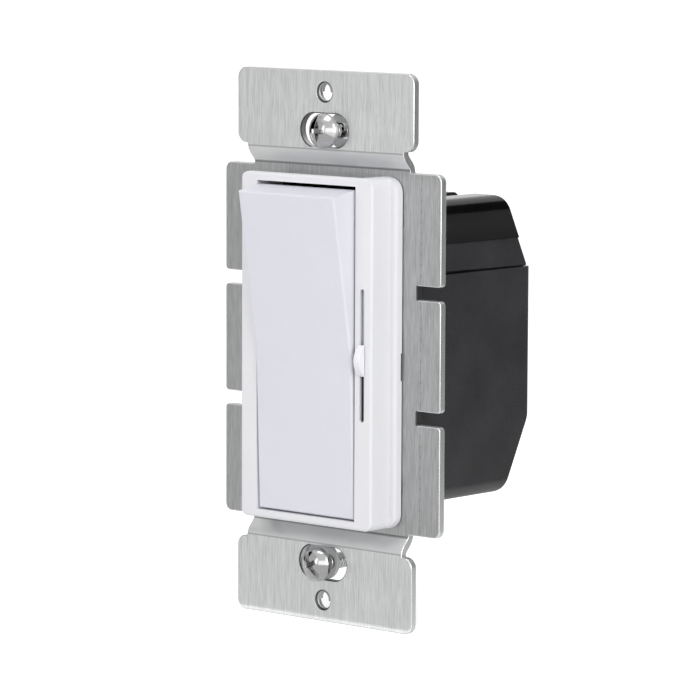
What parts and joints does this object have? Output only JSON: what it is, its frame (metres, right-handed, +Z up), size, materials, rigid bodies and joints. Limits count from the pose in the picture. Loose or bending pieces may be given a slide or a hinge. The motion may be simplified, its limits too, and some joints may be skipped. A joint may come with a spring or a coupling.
{
  "type": "rocker slide dimmer",
  "caption": "Wall dimmer with a two-way rocker paddle, a slim slider beside it, a metal mounting strap with break-off fins and a closed housing behind.",
  "frame": {"origin": "centre of the back face of the strap's main plate, in the plane of the wall", "axes": "+X right seen from the front, -Y out of the wall towards the user, +Y into the wall box, +Z up"},
  "size_m": [0.0544, 0.047, 0.105],
  "materials": {
    "strap_aluminium": "brushed along its height",
    "white_frame": "moulded, satin",
    "white_paddle": "moulded, satin",
    "white_knob": "moulded, satin",
    "housing_black": "moulded",
    "cover_black": "moulded",
    "zinc_steel": "zinc plated",
    "nickel_steel": "bright nickel plate",
    "insulation": "pressed sheet",
    "board_green": "solder mask on glass laminate",
    "epoxy_black": "moulded",
    "tinned_copper": "tinned",
    "mica": "sheet",
    "nylon_natural": "moulded",
    "ferrite": "sintered",
    "magnet_wire": "enamelled copper",
    "capacitor_amber": "dipped epoxy",
    "capacitor_red": "dipped epoxy",
    "diac_blue": "glass body",
    "resistor_tan": "lacquer",
    "phenolic": "moulded thermoset",
    "contact_copper": "stamped copper alloy",
    "spring_steel": "rolled",
    "grey_fibre": "stamped sheet",
    "shield_grey": "moulded"
  },
  "bodies": {
    "frame": {"mounting_strap": "strap_aluminium", "bezel": "white_frame", "rear_housing": "housing_black", "lead_cover": "cover_black", "housing_screws": "zinc_steel", "insulating_sheet": "insulation", "circuit_board": "board_green", "power_triac": "epoxy_black", "triac_tab": "tinned_copper", "triac_insulator": "mica", "triac_rivet": "zinc_steel", "choke_bobbin": "nylon_natural", "choke_core": "ferrite", "choke_winding": "magnet_wire", "film_capacitor": "capacitor_amber", "timing_capacitor": "capacitor_red", "trigger_diac": "diac_blue", "resistors": "resistor_tan", "slide_control_case": "zinc_steel", "resistance_track": "phenolic", "slide_control_terminals": "tinned_copper", "switch_base": "phenolic", "fixed_contacts": "contact_copper", "detent_spring": "spring_steel"},
    "rocker": {"rocker_paddle": "white_paddle", "rocker_actuator": "epoxy_black"},
    "contacts": {"contact_carriage": "nylon_natural", "bridge_contact": "contact_copper"},
    "slider": {"slider_knob": "white_knob", "slider_shield": "shield_grey", "wiper_carriage": "epoxy_black", "wiper_contact": "contact_copper"},
    "top_retainer": {"top_washer": "grey_fibre"},
    "top_screw": {"top_mounting_screw": "nickel_steel"},
    "bottom_retainer": {"bottom_washer": "grey_fibre"},
    "bottom_screw": {"bottom_mounting_screw": "nickel_steel"}
  },
  "joints": [
    {"name": "rocker_swing", "type": "hinge", "parent": "frame", "child": "rocker", "pos_m": [0, -0.0042, 0], "axis": [1, 0, 0], "range_deg": [-11.3, 0]},
    {"name": "contact_travel", "type": "slide", "parent": "frame", "child": "contacts", "axis": [0, 0, 1], "range_m": [-0.00145, 0.00003]},
    {"name": "slider_travel", "type": "slide", "parent": "frame", "child": "slider", "axis": [0, 0, 1], "range_m": [-0.0086, 0.0104]},
    {"name": "top_screw_shift", "type": "slide", "parent": "frame", "child": "top_retainer", "axis": [1, 0, 0], "range_m": [-0.0058, 0.0024]},
    {"name": "top_screw_turn", "type": "hinge", "parent": "top_retainer", "child": "top_screw", "pos_m": [0.0017, 0, 0.0412], "axis": [0, 1, 0], "continuous": true},
    {"name": "bottom_screw_shift", "type": "slide", "parent": "frame", "child": "bottom_retainer", "axis": [1, 0, 0], "range_m": [-0.0043, 0.0039]},
    {"name": "bottom_screw_turn", "type": "hinge", "parent": "bottom_retainer", "child": "bottom_screw", "pos_m": [0.0002, 0, -0.0412], "axis": [0, 1, 0], "continuous": true}
  ],
  "couplings": [
    {"joint": "contact_travel", "follows": "rocker_swing", "m_per_rad": 0.00719}
  ]
}
